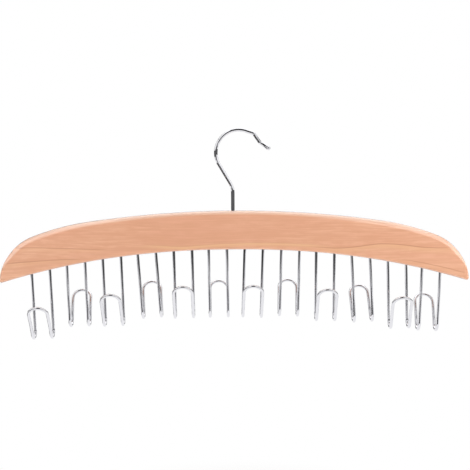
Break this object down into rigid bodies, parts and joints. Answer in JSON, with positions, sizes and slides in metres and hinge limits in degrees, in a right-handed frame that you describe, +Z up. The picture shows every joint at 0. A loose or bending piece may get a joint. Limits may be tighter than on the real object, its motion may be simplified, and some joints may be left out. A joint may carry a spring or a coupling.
{
  "type": "belt hanger",
  "caption": "Curved flat wooden hanger with a swivelling chrome hook and a row of bent chrome wires that hold belts by their buckles.",
  "frame": {"origin": "the rail seat: the highest point inside the hook's crown, where the rail carries the hanger", "axes": "+X along the bar, to the right seen from the front; +Y to the back; +Z up, along the hook's shank"},
  "size_m": [0.4355, 0.0602, 0.1945],
  "materials": {
    "wood": "natural wood under clear satin lacquer",
    "hook_chrome": "bright chrome plate on steel wire",
    "wire_chrome": "bright chrome plate on steel wire",
    "zinc": "dull zinc plate"
  },
  "bodies": {
    "hook": {"hook_wire": "hook_chrome"},
    "hanger": {"wood_bar": "wood", "hook_sleeve": "zinc", "belt_wire_01": "wire_chrome", "belt_wire_02": "wire_chrome", "belt_wire_03": "wire_chrome", "belt_wire_04": "wire_chrome", "belt_wire_05": "wire_chrome", "belt_wire_06": "wire_chrome", "belt_wire_07": "wire_chrome", "belt_wire_08": "wire_chrome", "belt_wire_09": "wire_chrome", "belt_wire_10": "wire_chrome", "belt_wire_11": "wire_chrome", "belt_wire_12": "wire_chrome"}
  },
  "joints": [
    {"name": "hook_swivel", "type": "hinge", "parent": "hook", "child": "hanger", "pos_m": [-0.00559, 0, -0.07286], "axis": [0, 0, 1], "continuous": true}
  ]
}
